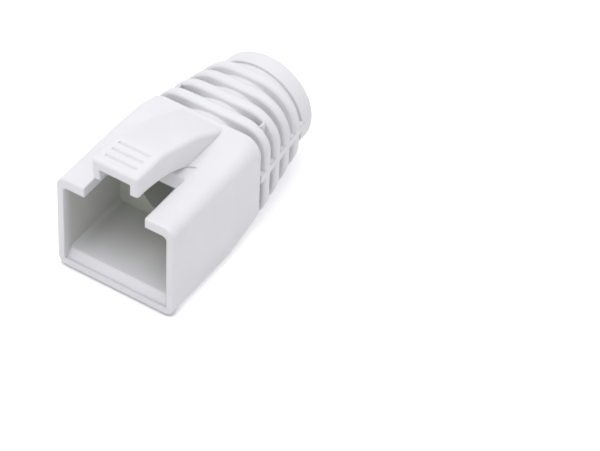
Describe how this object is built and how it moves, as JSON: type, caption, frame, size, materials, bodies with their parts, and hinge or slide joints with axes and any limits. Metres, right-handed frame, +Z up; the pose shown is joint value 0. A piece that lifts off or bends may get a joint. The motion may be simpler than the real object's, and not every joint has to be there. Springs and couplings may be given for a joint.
{
  "type": "rj45 strain relief boot",
  "caption": "Soft moulded boot for a modular plug: open box housing with a hooded latch cover, and a ribbed neck that grips and bends with the cable.",
  "frame": {"origin": "middle of the boot's length and width, on the plane of its flat underside", "axes": "+X along the cable towards the cable end, with the plug's mouth at -X; +Z up through the latch cover; the XZ plane is the mirror plane"},
  "size_m": [0.0268, 0.0136, 0.0161],
  "materials": {
    "soft_plastic": "satin"
  },
  "bodies": {
    "root": {"strain_relief_boot": "soft_plastic"}
  },
  "joints": []
}
